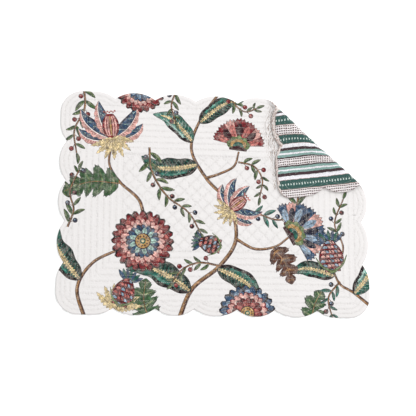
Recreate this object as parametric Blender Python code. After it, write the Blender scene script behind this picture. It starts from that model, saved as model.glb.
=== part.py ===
"""Quilted placemat with a scalloped edge, lying face up with one corner folded over.

The mat is two panels, sewn edge to edge and quilted through. Each panel is shaped flat
first, with u along the mat, v across it and n up through the cloth from the layer
between the panels. It is quilted there, and then one rule folds both panels over.
"""

import math

import bmesh
import bpy
from mathutils import Vector

MM = 0.001

# Flat cut
LENGTH = 457 * MM
WIDTH = 330 * MM
NOTCH_DEPTH = 10 * MM  # how far the notches between scallops reach in
CORNER_RADIUS = 32.5 * MM
SHOULDER_RADIUS = 48 * MM  # of a corner scallop, from its notch up to the side's line
LOBE_STEPS = 6  # straight pieces to a side scallop
SHOULDER_STEPS = 3
CORNER_STEPS = 4

# Where the notches lie along each side, from its middle, in millimetres, as unevenly
# as they were sewn. Each side runs with the outline, anticlockwise from the bottom.
NOTCHES = {
    "bottom": (-147, -87, -31, 31, 86, 149),
    "right": (-86, -22, 35, 93),
    "top": (152.5, 95, 34, -29, -90, -149),
    "left": (88, 29, -31, -91),
}

# Cloth, from the layer between the panels outwards
PANEL_GAP = 0.3 * MM
STITCHED = 1.1 * MM  # along a line of quilting
PUFFED = 2.0 * MM  # between the lines
SLOPE = 2.0 * MM  # from a line of quilting up to the full puff
EDGE_SLOPE = 1.1 * MM  # the same beside the scalloped edge

# Quilting: an echo of the edge, nested rectangles, and diamonds in the middle
ECHO = 6 * MM
FIRST_RECTANGLE = 21 * MM
RECTANGLE_PITCH = 9 * MM
RECTANGLES = 9
FIELD = FIRST_RECTANGLE + (RECTANGLES - 1) * RECTANGLE_PITCH  # from the sides
DIAMONDS_ALONG = 15
DIAMONDS_ACROSS = 8

# Fold: the corner at +u, +v turns over about a line that starts on the top side
FOLD_START = 80 * MM  # along the top side, from its middle
FOLD_ANGLE = math.radians(43)  # of the line, below the long sides
FOLD_RADIUS = 3.7 * MM  # of the mid-layer, at both ends of the line
RADIUS_BULGE = 4.2 * MM  # more than that where the fold stands fullest
OVERTURN = math.radians(11)  # the bend goes this far past a half turn at its ends
OVERTURN_BULGE = math.radians(10)
BULGE_SKEW = 0.8  # below 1 the fullest place is nearer the line's start
SKEW = 0.08  # the flap's drift along the line, for each millimetre past the fold
STRETCH = 0.035  # and away from it, where the cloth was pulled
LANDING_RADIUS = 40 * MM  # of the bend back, where the flap comes to lie flat
FLAP_GAP = 0.8 * MM  # between the flap and the mat under it
BEND_STEPS = 9
LANDING_STEPS = 2
FOLD_STATIONS = (0, 0.2, 0.42, 0.7, 1)  # shares of the line, where the fold is cut

CLOSE = 1e-5  # points nearer than this to a cut are taken as on it

MID_HEIGHT = PUFFED
FLAP_RISE = 2 * PUFFED + FLAP_GAP  # of the flap's mid-layer above the mat's
ALONG = Vector((math.cos(FOLD_ANGLE), -math.sin(FOLD_ANGLE)))
ACROSS = Vector((math.sin(FOLD_ANGLE), math.cos(FOLD_ANGLE)))
FOLD_POINT = Vector((FOLD_START, WIDTH / 2))
FOLD_LENGTH = (LENGTH / 2 - FOLD_START) / ALONG.x


def arc(center, radius, start, end, steps):
    """Points on an arc, its end left out."""
    angles = (start + (end - start) * i / steps for i in range(steps))
    return [center + radius * Vector((math.cos(a), math.sin(a))) for a in angles]


def side_lobe(first, last):
    """A scallop along the bottom side, from one notch to the next."""
    half = (last - first) / 2
    radius = (half**2 + NOTCH_DEPTH**2) / (2 * NOTCH_DEPTH)
    swing = math.asin(half / radius)
    down = -math.pi / 2
    center = Vector(((first + last) / 2, radius))
    return arc(center, radius, down - swing, down + swing, LOBE_STEPS)


def corner_lobe(last, side, next_first, next_side):
    """The scallop round a corner, from a side's last notch to the next side's first."""
    swing = math.acos(1 - NOTCH_DEPTH / SHOULDER_RADIUS)
    reach = SHOULDER_RADIUS * math.sin(swing)
    down = -math.pi / 2
    shoulder = Vector((last + reach, SHOULDER_RADIUS))
    corner = Vector((side / 2 - CORNER_RADIUS, CORNER_RADIUS))
    up = next_side / 2 + next_first
    far = Vector((side / 2 - SHOULDER_RADIUS, up - reach))
    return (
        arc(shoulder, SHOULDER_RADIUS, down - swing, down, SHOULDER_STEPS)
        + [Vector((shoulder.x, 0))]
        + arc(corner, CORNER_RADIUS, down, 0, CORNER_STEPS)
        + [corner + Vector((CORNER_RADIUS, 0))]
        + arc(far, SHOULDER_RADIUS, 0, swing, SHOULDER_STEPS)
    )


def outline():
    """The scalloped edge, anticlockwise: each side is drawn as the bottom one, and turned."""
    names = list(NOTCHES)
    points = []
    for turn, name in enumerate(names):
        long_side = turn % 2 == 0
        side, other = (LENGTH, WIDTH) if long_side else (WIDTH, LENGTH)
        sign = 1 if turn < 2 else -1  # the top and left sides run the other way
        own = [sign * at * MM for at in NOTCHES[name]]
        following = names[(turn + 1) % 4]
        next_sign = 1 if (turn + 1) % 4 < 2 else -1
        next_first = next_sign * NOTCHES[following][0] * MM
        drawn = [p for pair in zip(own, own[1:]) for p in side_lobe(*pair)]
        drawn += corner_lobe(own[-1], side, next_first, other)
        for p in drawn:
            x, y = p.x, p.y - other / 2
            for _ in range(turn):
                x, y = -y, x
            points.append(Vector((x, y)))
    return points


def from_side(point):
    """How far a point of the flat mat lies in from the nearest side, and which side."""
    ways = (
        (WIDTH / 2 + point.y, "bottom"),
        (LENGTH / 2 - point.x, "right"),
        (WIDTH / 2 - point.y, "top"),
        (LENGTH / 2 + point.x, "left"),
    )
    return min(ways)


def cut(mesh, faces, point, direction):
    """Cuts the faces along a line of the flat mat, through point and along direction."""
    parts = set(faces)
    for face in faces:
        parts.update(face.edges)
        parts.update(face.verts)
    bmesh.ops.bisect_plane(
        mesh,
        geom=list(parts),
        dist=CLOSE,
        plane_co=(point[0], point[1], 0),
        plane_no=(direction[1], -direction[0], 0),
    )


def set_height(faces, height):
    for face in faces:
        for vert in face.verts:
            vert.co.z = height


def puff(mesh, faces, slope):
    """Raises one quilted shape between its lines of stitching."""
    bmesh.ops.inset_region(
        mesh, faces=faces, thickness=slope, use_even_offset=True, use_boundary=True
    )
    set_height(faces, PUFFED)


def marked(mesh, layer, test):
    """The faces still to be quilted whose middle passes the test."""
    found = [f for f in mesh.faces if f[layer]]
    return [f for f in found if test(f.calc_center_median())]


def edge_and_echo(mesh, top):
    """The rounded edge of the mat, and the line of quilting that follows it."""
    steps = (
        (EDGE_SLOPE, PUFFED),
        (ECHO - 2 * EDGE_SLOPE, PUFFED),
        (EDGE_SLOPE, STITCHED),
    )
    for inward, height in steps:
        bmesh.ops.inset_region(
            mesh, faces=[top], thickness=inward, use_even_offset=True, use_boundary=True
        )
        set_height([top], height)


def draw_rectangles(mesh, layer):
    """Cuts the nested rectangles, each side of them only as far as its own corners."""
    half_u, half_v = LENGTH / 2 - FIELD, WIDTH / 2 - FIELD
    for sign in (-1, 1):
        for line in (((sign * half_u, 0), (0, 1)), ((0, sign * half_v), (1, 0))):
            cut(mesh, marked(mesh, layer, lambda c: True), *line)
    for u in (-1, 1):
        for v in (-1, 1):
            corner = marked(
                mesh, layer, lambda c: u * c.x > half_u and v * c.y > half_v
            )
            cut(mesh, corner, (u * half_u, v * half_v), (u, v))
    ways = {"bottom": (1, 0), "top": (1, 0), "right": (0, 1), "left": (0, 1)}
    for name, way in ways.items():
        out = -1 if name in ("bottom", "left") else 1
        for i in range(RECTANGLES - 1):
            inward = FIRST_RECTANGLE + i * RECTANGLE_PITCH
            at = (out * (LENGTH / 2 - inward), out * (WIDTH / 2 - inward))
            strips = marked(mesh, layer, lambda c: from_side(c)[1] == name)
            cut(mesh, strips, at, way)


def draw_diamonds(mesh, layer):
    """Cuts the field in the middle along the two slanting families of lines."""
    half_u, half_v = LENGTH / 2 - FIELD, WIDTH / 2 - FIELD
    wide, high = 2 * half_u / DIAMONDS_ALONG, 2 * half_v / DIAMONDS_ACROSS
    for lean in (-1, 1):
        for i in range(1 - DIAMONDS_ACROSS, DIAMONDS_ALONG):
            start = (lean * (-half_u + i * wide), -half_v)
            field = marked(mesh, layer, lambda c: from_side(c)[0] > FIELD)
            cut(mesh, field, start, (lean * wide, high))


def quilt(mesh, layer):
    """Puffs the border, the strips between the rectangles and the diamonds."""
    set_height(marked(mesh, layer, lambda c: True), STITCHED)
    border = marked(mesh, layer, lambda c: from_side(c)[0] < FIRST_RECTANGLE)
    puff(mesh, border, EDGE_SLOPE)
    for i in range(RECTANGLES - 1):
        inner = FIRST_RECTANGLE + i * RECTANGLE_PITCH
        outer = inner + RECTANGLE_PITCH
        ring = marked(mesh, layer, lambda c: inner < from_side(c)[0] < outer)
        puff(mesh, ring, SLOPE)
    for diamond in marked(mesh, layer, lambda c: from_side(c)[0] > FIELD):
        puff(mesh, [diamond], SLOPE)


def flat_panel():
    """One panel before folding: a closed sheet whose outer side is quilted."""
    mesh = bmesh.new()
    layer = mesh.faces.layers.int.new("to_quilt")
    rim = [mesh.verts.new((p.x, p.y, PANEL_GAP / 2)) for p in outline()]
    bottom = mesh.faces.new(rim)
    raised = bmesh.ops.extrude_face_region(mesh, geom=[bottom], use_keep_orig=True)
    top = next(e for e in raised["geom"] if isinstance(e, bmesh.types.BMFace))
    set_height([top], STITCHED)
    edge_and_echo(mesh, top)
    top[layer] = 1
    draw_rectangles(mesh, layer)
    draw_diamonds(mesh, layer)
    quilt(mesh, layer)
    bmesh.ops.recalc_face_normals(mesh, faces=mesh.faces[:])
    return mesh


def fold_shape(along):
    """The fold's radius and how far past a half turn it bends, at a place on its line."""
    share = min(max(along / FOLD_LENGTH, 0), 1)
    bulge = math.sin(math.pi * share**BULGE_SKEW) ** 2
    return FOLD_RADIUS + RADIUS_BULGE * bulge, OVERTURN + OVERTURN_BULGE * bulge


def section(along):
    """Lengths of the fold's parts: the bend, the slant down, the bend back, and where
    the bend starts so that the flap lies mirrored about the fold's line."""
    radius, turn = fold_shape(along)
    fall = radius * (1 + math.cos(turn)) - FLAP_RISE - LANDING_RADIUS * (1 - math.cos(turn))
    slant = fall / math.sin(turn)
    bend = radius * (math.pi + turn)
    landing = LANDING_RADIUS * turn
    back = (radius + LANDING_RADIUS) * math.sin(turn) + slant * math.cos(turn)
    start = (back - bend - slant - landing) / 2
    return bend, slant, landing, start


def fold_across(s, along):
    """Where the mid-layer lies, across and up, and its slope, s past the fold's line."""
    bend, slant, landing, start = section(along)
    radius, turn = fold_shape(along)
    if s <= start:
        return s, 0.0, 0.0
    angle = min(s - start, bend) / radius
    across = start + radius * math.sin(angle)
    up = radius * (1 - math.cos(angle))
    run = min(max(s - start - bend, 0), slant)
    across += run * math.cos(angle)
    up += run * math.sin(angle)
    turned = min(max(s - start - bend - slant, 0), landing) / LANDING_RADIUS
    across -= LANDING_RADIUS * (math.sin(turn) - math.sin(turn - turned))
    up -= LANDING_RADIUS * (math.cos(turn - turned) - math.cos(turn))
    across -= max(s - start - bend - slant - landing, 0)
    return across, up, angle - turned


def folded(point):
    """A point of the flat mat, where it lies once the corner is folded over."""
    reach = point.to_2d() - FOLD_POINT
    along, s = reach.dot(ALONG), reach.dot(ACROSS)
    across, up, slope = fold_across(s, along)
    bend, slant, landing, start = section(along)
    over = max(s - start - bend / 2, 0)
    across -= point.z * math.sin(slope) + STRETCH * over
    up += point.z * math.cos(slope)
    place = FOLD_POINT + ALONG * (along + SKEW * over) + ACROSS * across
    return Vector((place.x, place.y, MID_HEIGHT + up))


def in_fold(mesh, first, low=-1.0, high=1.0):
    """The faces past the fold's first line, whose middles lie between two places on it."""
    found = []
    for face in mesh.faces:
        reach = face.calc_center_median().to_2d() - FOLD_POINT
        if reach.dot(ACROSS) > first and low < reach.dot(ALONG) < high:
            found.append(face)
    return found


def cut_for_fold(mesh):
    """Cuts the panel along the lines where the fold's section bends."""
    stations = [FOLD_LENGTH * share for share in FOLD_STATIONS]
    first = min(section(along)[3] for along in stations) - CLOSE
    cut(mesh, mesh.faces[:], FOLD_POINT + ACROSS * first, ALONG)
    for along in stations[1:-1]:
        cut(mesh, in_fold(mesh, first), FOLD_POINT + ALONG * along, ACROSS)
    shares = [("bend", i / BEND_STEPS) for i in range(BEND_STEPS + 1)]
    shares += [("landing", i / LANDING_STEPS) for i in range(LANDING_STEPS + 1)]
    limits = [-1.0] + stations[1:-1] + [1.0]
    for i in range(len(stations) - 1):
        for part, share in shares:
            line = []
            for along in stations[i : i + 2]:
                bend, slant, landing, start = section(along)
                s = start + bend * share
                if part == "landing":
                    s = start + bend + slant + landing * share
                line.append(FOLD_POINT + ALONG * along + ACROSS * s)
            own = in_fold(mesh, first, limits[i], limits[i + 1])
            cut(mesh, own, line[0], line[1] - line[0])


def panel(name, side, color, collection):
    """Makes one panel: side is 1 for the face, and -1 for the back."""
    mesh = flat_panel()
    cut_for_fold(mesh)
    bmesh.ops.triangulate(mesh, faces=mesh.faces[:])
    for vert in mesh.verts:
        vert.co.z *= side
        vert.co = folded(vert.co)
    if side < 0:
        bmesh.ops.reverse_faces(mesh, faces=mesh.faces[:])
    data = bpy.data.meshes.new(name)
    mesh.to_mesh(data)
    mesh.free()
    cloth = bpy.data.materials.new(name)
    cloth.use_nodes = True
    shader = cloth.node_tree.nodes["Principled BSDF"]
    shader.inputs["Base Color"].default_value = (*color, 1)
    shader.inputs["Roughness"].default_value = 0.9
    data.materials.append(cloth)
    collection.objects.link(bpy.data.objects.new(name, data))


def main():
    for thing in list(bpy.data.objects):
        bpy.data.objects.remove(thing)
    collection = bpy.data.collections.new("placemat")
    bpy.context.scene.collection.children.link(collection)
    panel("face_panel", 1, (0.86, 0.84, 0.82), collection)
    panel("back_panel", -1, (0.12, 0.27, 0.22), collection)


main()
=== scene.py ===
import math

import bpy
import numpy as np
from mathutils import Matrix, Vector
from mathutils.geometry import delaunay_2d_cdt
from mathutils.kdtree import KDTree


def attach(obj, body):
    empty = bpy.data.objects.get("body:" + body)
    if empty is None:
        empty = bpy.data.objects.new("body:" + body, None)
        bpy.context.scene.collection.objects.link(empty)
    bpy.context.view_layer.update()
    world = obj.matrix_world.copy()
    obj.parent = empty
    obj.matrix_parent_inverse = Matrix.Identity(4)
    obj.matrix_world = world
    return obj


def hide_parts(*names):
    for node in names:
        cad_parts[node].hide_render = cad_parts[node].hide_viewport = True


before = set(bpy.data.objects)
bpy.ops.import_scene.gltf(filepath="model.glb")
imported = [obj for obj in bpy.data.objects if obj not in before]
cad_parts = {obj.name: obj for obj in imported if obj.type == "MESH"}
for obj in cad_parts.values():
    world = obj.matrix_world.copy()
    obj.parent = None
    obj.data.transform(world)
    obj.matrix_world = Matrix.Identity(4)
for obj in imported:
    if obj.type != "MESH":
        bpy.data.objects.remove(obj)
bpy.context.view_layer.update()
print("frame loaded:", sorted(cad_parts))

# Everything flat is worked out in millimetres: x along the mat, y across it, from its middle.
mm = 0.001
down = -math.pi / 2


# the flat cut

cut = {
    "length": 457.0,
    "width": 330.0,
    "notchDepth": 10.0,
    "cornerRadius": 32.5,
    "foldedCornerRadius": 19.0,
    "shoulderRadius": 48.0,  # of a corner scallop, from its notch up to the side's line
    "notches": {  # along each side, in the order the outline runs
        "bottom": (-147, -87, -31, 31, 86, 149),
        "right": (-86, -22, 35, 93),
        "top": (152.5, 95, 34, -29, -90, -149),
        "left": (88, 29, -31, -91),
    },
    "step": 1.5,  # between points on the edge
    "fineStep": 0.25,  # between the points that distances to the edge are measured from
    "offEdge": 0.1,  # nearer than this, the way in is square to the edge itself
}
halfLength, halfWidth = cut["length"] / 2, cut["width"] / 2


def unit(ways):
    return ways / np.maximum(np.linalg.norm(ways, axis=1), 1e-12)[:, None]


def quarterTurn(ways):
    return np.column_stack([-ways[:, 1], ways[:, 0]])


def fadeIn(values, start, reach):
    return np.clip((values - start) / reach, 0, 1)


def arcPoints(center, radius, start, end, step):
    count = max(2, math.ceil(radius * abs(end - start) / step))
    angle = np.linspace(start, end, count, endpoint=False)
    return np.asarray(center) + radius * np.stack([np.cos(angle), np.sin(angle)], 1)


def linePoints(start, end, step):
    count = max(1, math.ceil(math.dist(start, end) / step))
    share = np.linspace(0, 1, count, endpoint=False)[:, None]
    return np.asarray(start) * (1 - share) + np.asarray(end) * share


def sideScallop(first, last, step):
    half, depth = (last - first) / 2, cut["notchDepth"]
    radius = (half**2 + depth**2) / (2 * depth)
    swing = math.asin(half / radius)
    return arcPoints(((first + last) / 2, radius), radius, down - swing, down + swing, step)


def cornerScallop(last, side, nextFirst, nextSide, corner, step):
    shoulder = cut["shoulderRadius"]
    swing = math.acos(1 - cut["notchDepth"] / shoulder)
    reach = shoulder * math.sin(swing)
    up = nextSide / 2 + nextFirst - reach
    return np.concatenate([
        arcPoints((last + reach, shoulder), shoulder, down - swing, down, step),
        linePoints((last + reach, 0), (side / 2 - corner, 0), step),
        arcPoints((side / 2 - corner, corner), corner, down, 0, step),
        linePoints((side / 2, corner), (side / 2, up), step),
        arcPoints((side / 2 - shoulder, up), shoulder, 0, swing, step),
    ])


def outlinePoints(step):
    names = list(cut["notches"])
    loops = []
    for turn, name in enumerate(names):
        side, other = (cut["length"], cut["width"])[:: 1 if turn % 2 == 0 else -1]
        sign = 1 if turn < 2 else -1  # the top and left sides run the other way
        own = [sign * at for at in cut["notches"][name]]
        nextSign = 1 if (turn + 1) % 4 < 2 else -1
        nextFirst = nextSign * cut["notches"][names[(turn + 1) % 4]][0]
        drawn = [sideScallop(a, b, step) for a, b in zip(own, own[1:])]
        corner = cut["foldedCornerRadius" if name == "right" else "cornerRadius"]
        drawn.append(cornerScallop(own[-1], side, nextFirst, other, corner, step))
        points = np.concatenate(drawn) - (0, other / 2)
        for _ in range(turn):
            points = quarterTurn(points)
        loops.append(points)
    return np.concatenate(loops)


outline, fineOutline = outlinePoints(cut["step"]), outlinePoints(cut["fineStep"])
outlineTree = KDTree(len(fineOutline))
for at, (x, y) in enumerate(fineOutline):
    outlineTree.insert((x, y, 0), at)
outlineTree.balance()


def fromSides(points):
    return np.minimum(halfLength - np.abs(points[:, 0]), halfWidth - np.abs(points[:, 1]))


def fromEdge(points):
    # how far in from the scalloped edge, and the way that leads further in
    at = np.array([outlineTree.find((x, y, 0))[1] for x, y in points], int)
    corner, nearest, far = fineOutline[at], None, np.full(len(points), np.inf)
    for neighbor in (-1, 1):
        ahead = fineOutline[(at + neighbor) % len(fineOutline)] - corner
        share = np.clip(((points - corner) * ahead).sum(1) / (ahead**2).sum(1), 0, 1)
        onLine = corner + ahead * share[:, None]
        away = np.linalg.norm(points - onLine, axis=1)
        nearest = onLine if nearest is None else np.where((away < far)[:, None], onLine, nearest)
        far = np.minimum(far, away)
    ends = fineOutline[(at + 1) % len(fineOutline)] - fineOutline[at - 1]
    inwards = unit(quarterTurn(ends))
    return far, np.where(far[:, None] > cut["offEdge"], unit(points - nearest), inwards)


def nearBox(points, corners, margin=0.0):
    # which points lie in the box round some others
    low, high = corners.min(0) - margin, corners.max(0) + margin
    return np.flatnonzero(((points > low) & (points < high)).all(1))


def insidePolygon(points, polygon):
    near = nearBox(points, polygon)
    inside = np.zeros(len(points), bool)
    if not len(near):
        return inside
    x, y = points[near, 0][:, None], points[near, 1][:, None]
    a, b = polygon, np.roll(polygon, -1, 0)
    crosses = (a[:, 1] > y) != (b[:, 1] > y)
    rise = np.where(b[:, 1] == a[:, 1], 1e-9, b[:, 1] - a[:, 1])
    left = x < a[:, 0] + (y - a[:, 1]) * (b[:, 0] - a[:, 0]) / rise
    inside[near] = (crosses & left).sum(1) % 2 == 1
    return inside


noise = {"cells": 64, "shift": 31.7}  # the shift keeps the middle of the mat off a cell's corner


def softNoise(points, scale, seed):
    cells = noise["cells"]
    table = np.random.default_rng(seed).uniform(-1, 1, (cells, cells))
    at = points / scale + noise["shift"]
    cell = np.floor(at).astype(int)
    share = at - cell
    share = share * share * (3 - 2 * share)
    i, j = cell[:, 0] % cells, cell[:, 1] % cells
    k, m = (i + 1) % cells, (j + 1) % cells
    across = table[i, j] * (1 - share[:, 0]) + table[k, j] * share[:, 0]
    above = table[i, m] * (1 - share[:, 0]) + table[k, m] * share[:, 0]
    return across * (1 - share[:, 1]) + above * share[:, 1]


def drift(points, scale, seed):
    return np.stack([softNoise(points, scale, seed), softNoise(points, scale, seed + 1)], 1)


curveSteps = 14  # from one given point of a curve to the next, before it is spaced evenly


def smoothCurve(points, step):
    # a Catmull-Rom curve through the points, evenly spaced
    ends = np.asarray(points, float)
    ends = np.vstack([2 * ends[0] - ends[1], ends, 2 * ends[-1] - ends[-2]])
    t = np.linspace(0, 1, curveSteps, endpoint=False)[:, None]
    parts = []
    for a, b, c, d in zip(ends, ends[1:], ends[2:], ends[3:]):
        bent = (c - a) * t + (2 * a - 5 * b + 4 * c - d) * t**2 + (3 * b - a - 3 * c + d) * t**3
        parts.append(b + 0.5 * bent)
    dense = np.vstack(parts + [ends[-2:-1]])
    far = np.concatenate([[0], np.cumsum(np.linalg.norm(np.diff(dense, axis=0), axis=1))])
    at = np.linspace(0, far[-1], max(3, round(far[-1] / step) + 1))
    return np.column_stack([np.interp(at, far, dense[:, 0]), np.interp(at, far, dense[:, 1])])


def leftOf(line):
    return quarterTurn(unit(np.gradient(np.asarray(line, float), axis=0)))


# the quilting

seeds = {
    "face": 21, "back": 31, "wander": 11, "crease": 51, "swell": 53,
    "fineRipple": 61, "coarseRipple": 62, "droop": 63, "rim": 41, "print": 7,
}

quilting = {
    "stitched": 1.3,  # half the mat's thickness along a line of stitches
    "puffed": 2.0,  # and between the lines
    "rise": 4.3,  # from a line up to the full puff
    "roundness": 2.2,
    "echo": 6.4,  # in from the scalloped edge
    "secondEcho": 13.0,  # short arcs in the scallops
    "secondEchoEnd": 19.0,  # they stop this far in from the side
    "first": 21.0,  # the outermost rectangle, in from the sides
    "pitch": 9.0,
    "rectangles": 9,
    "along": 15,  # diamonds in the field
    "across": 8,
    "wobble": 0.8,  # how far the sewn lines wander
    "wobbleScale": 46.0,
    "wobbleStart": 16.0,  # in from the sides, and how soon it is full
    "wobbleFade": 12.0,
    "edgeRound": 2.2,
    "pucker": 0.3,
    "puckerScale": 3.4,
    "unevenness": 0.24,
    "unevenScale": 13.0,
}
fieldInset = quilting["first"] + (quilting["rectangles"] - 1) * quilting["pitch"]
fieldX, fieldY = halfLength - fieldInset, halfWidth - fieldInset
diamondX, diamondY = fieldX / quilting["along"], fieldY / quilting["across"]  # half a diamond


def wander(points):
    # the sewn lines' drift from their marked places, which fades out towards the edge
    fade = fadeIn(fromSides(points), quilting["wobbleStart"], quilting["wobbleFade"])
    wobble = drift(points, quilting["wobbleScale"], seeds["wander"])
    return wobble * (fade * quilting["wobble"])[:, None]


def toStitches(points, edge):
    marked = points - wander(points)
    inward = fromSides(marked)
    first, pitch = quilting["first"], quilting["pitch"]
    number = np.clip(np.round((inward - first) / pitch), 0, quilting["rectangles"] - 1)
    nearest = np.abs(inward - (first + number * pitch))
    pastEnd = np.clip(inward - quilting["secondEchoEnd"], 0, 9)
    for echo in (np.abs(edge - quilting["echo"]), np.abs(edge - quilting["secondEcho"]) + pastEnd):
        nearest = np.where(inward < first, np.minimum(nearest, echo), nearest)
    # the field's own coordinates: its lines run where either is a whole number
    x, y = (marked[:, 0] + fieldX) / (2 * diamondX), (marked[:, 1] + fieldY) / (2 * diamondY)
    offLine = [np.abs(value - np.round(value)) for value in (x + y, x - y)]
    diamond = np.minimum(*offLine) * (2 * diamondX * diamondY / math.hypot(diamondX, diamondY))
    return np.where(inward > fieldInset, np.minimum(diamond, nearest), nearest)


def halfThickness(points, edge, seed):
    # from the layer between the cloths out to one of them
    rise = np.clip(toStitches(points, edge) / quilting["rise"], 0, 1)
    puff = 1 - (1 - rise) ** quilting["roundness"]
    height = quilting["stitched"] + (quilting["puffed"] - quilting["stitched"]) * puff
    pucker = softNoise(points, quilting["puckerScale"], seed) * (1 - rise)
    height -= quilting["pucker"] * np.abs(pucker)
    height -= quilting["unevenness"] * (1 + softNoise(points, quilting["unevenScale"], seed + 1)) / 2
    rounding = np.clip(edge / quilting["edgeRound"], 0, 1)
    height = height * np.sqrt(1 - (1 - rounding) ** 2)
    return height + (creaseHeight(points) if seed == seeds["face"] else rimRipple(points, edge))


topStrip = 120.0  # what lies further across than this is beside the top edge

ripple = {
    "start": 84.0,
    "end": 222.0,
    "fade": 6.0,
    "fine": 0.5,
    "fineScale": 2.6,
    "fineStretch": (1.0, 0.45),
    "coarse": 0.25,
    "coarseScale": 6.0,
    "edgeFade": 1.5,
    "reach": 6.5,
    "reachFade": 3.0,
}


def rimRipple(points, edge):
    # the turned-over seam puckers along the flap's edge
    x, y = points.T
    on = fadeIn(x, ripple["start"], ripple["fade"]) * fadeIn(-x, -ripple["end"], ripple["fade"])
    fine = softNoise(points * ripple["fineStretch"], ripple["fineScale"], seeds["fineRipple"])
    coarse = softNoise(points, ripple["coarseScale"], seeds["coarseRipple"])
    height = ripple["fine"] * fine + ripple["coarse"] * coarse
    height = on * (y > topStrip) * height * fadeIn(edge, 0, ripple["edgeFade"])
    return height * fadeIn(-edge, -ripple["reach"], ripple["reachFade"])


droop = {
    "start": 10.0,  # past the fold's line, and how soon it is full
    "fade": 8.0,
    "width": 9.0,  # in from the edge
    "rest": 5.8,  # how high the edge comes to lie
    "unevenness": 0.5,
    "unevenScale": 7.0,
    "most": 5.0,
    "curve": 1.3,
}


def edgeDroop(points, edge):
    # the flap's edge settles to the mat below it, more at some places than at others
    drop = np.zeros(len(points))
    past = (points - foldPoint) @ across
    near = np.flatnonzero((past > droop["start"]) & (edge < droop["width"]))
    high = foldedPlace(points[near], np.zeros(len(near)))[:, 2] / mm
    uneven = softNoise(points[near], droop["unevenScale"], seeds["droop"])
    rest = droop["rest"] + droop["unevenness"] * uneven
    settle = np.clip(high - rest, 0, droop["most"]) * fadeIn(past[near], droop["start"], droop["fade"])
    drop[near] = settle * (1 - edge[near] / droop["width"]) ** droop["curve"]
    return drop


# creases, listed where the photo shows them, and none elsewhere

creases = (  # each line across the flat cut, its height and half its width
    (((85, 152), (84, 142), (82, 123), (83.5, 107), (82.5, 95), (85.5, 87), (87, 74), (87.5, 61),
      (88, 47), (89, 36), (92, 24)), 2.0, 1.5),
    (((82, 149), (81, 140), (79.3, 122), (80.8, 106), (79.6, 96), (83, 86), (84.8, 73), (85.2, 60)),
     -0.9, 0.6),
    (((83, 113), (85, 106), (87.5, 100), (90.5, 95), (93, 91), (92, 86), (90, 80)), 1.7, 1.4),
    (((80, 108), (82, 101), (86, 94), (88.5, 89), (87.5, 82)), -0.8, 0.6),
    (((80, 136), (76.5, 121), (78, 110), (76.5, 100), (80, 90)), 1.1, 1.2),
    (((78, 138), (74.5, 121), (75.8, 110), (74.4, 101)), -0.8, 0.55),
    (((72, 130), (76, 122)), 0.6, 1.2),
    (((70, 120), (75, 114)), 0.6, 1.2),
    (((192, -19), (204, -11), (218, -8)), 0.8, 1.5),
    (((190, -22), (203, -14), (219, -11)), -0.6, 0.6),
    (((188, -6), (198, -1), (208, 2)), 0.6, 1.4),
    (((218, 12), (222, 2), (220, -8)), 0.6, 1.5),
)
creasing = {
    "wander": 0.7,
    "wanderScale": 5.5,
    "swell": (0.7, 0.45),  # its middle, and how far it goes from there
    "swellScale": 4.0,
    "endShare": 0.2,  # of a crease's length, over which it fades at each end
    "endHeight": 0.15,
    "far": 99.0,
}


def creaseHeight(points):
    height = np.zeros(len(points))
    for line, rise, reach in creases:
        line = np.asarray(line, float)
        near = nearBox(points, line, 3 * reach)
        if not len(near):
            continue
        wandered = drift(points[near], creasing["wanderScale"], seeds["crease"])
        own = points[near] + creasing["wander"] * wandered
        away, share = np.full(len(near), creasing["far"]), np.zeros(len(near))
        for number, (a, b) in enumerate(zip(line, line[1:])):
            reachAlong = np.clip((own - a) @ (b - a) / ((b - a) @ (b - a)), 0, 1)
            far = np.linalg.norm(own - a - reachAlong[:, None] * (b - a), axis=1)
            closer = far < away
            away = np.where(closer, far, away)
            share = np.where(closer, (number + reachAlong) / (len(line) - 1), share)
        middle, most = creasing["swell"]
        swell = middle + most * softNoise(own, creasing["swellScale"], seeds["swell"])
        fade = np.clip(np.minimum(share, 1 - share) / creasing["endShare"], creasing["endHeight"], 1)
        height[near] += rise * swell * fade * np.exp(-((away / reach) ** 2))
    return height


# the fold, the same rule as the solids'

fold = {
    "start": 80.0,  # where its line meets the top side
    "angle": math.radians(43),
    "radius": 3.7,  # at both ends of the line
    "radiusBulge": 4.2,  # more than that where the fold stands fullest
    "overturn": math.radians(11),
    "overturnBulge": math.radians(10),
    "bulgeSkew": 0.8,
    "skew": 0.08,  # the flap's drift along the line, for each millimetre past the fold
    "stretch": 0.035,
    "landingRadius": 40.0,
    "flapGap": 0.8,
}
along = np.array([math.cos(fold["angle"]), -math.sin(fold["angle"])])
across = np.array([math.sin(fold["angle"]), math.cos(fold["angle"])])
foldPoint = np.array([fold["start"], halfWidth])
foldLength = (halfLength - fold["start"]) / along[0]
flapRise = 2 * quilting["puffed"] + fold["flapGap"]


def foldParts(reach):
    # at a place on the fold: its radius, its turn, and the lengths of the bend, the slant down
    # and the bend back, and where the bend starts
    share = np.clip(reach / foldLength, 0, 1)
    bulge = np.sin(math.pi * share ** fold["bulgeSkew"]) ** 2
    radius = fold["radius"] + fold["radiusBulge"] * bulge
    turn = fold["overturn"] + fold["overturnBulge"] * bulge
    landingRadius = fold["landingRadius"]
    fall = radius * (1 + np.cos(turn)) - flapRise - landingRadius * (1 - np.cos(turn))
    slant = fall / np.sin(turn)
    bend, landing = radius * (math.pi + turn), landingRadius * turn
    back = (radius + landingRadius) * np.sin(turn) + slant * np.cos(turn)
    start = (back - bend - slant - landing) / 2
    return radius, turn, bend, slant, landing, start


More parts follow.
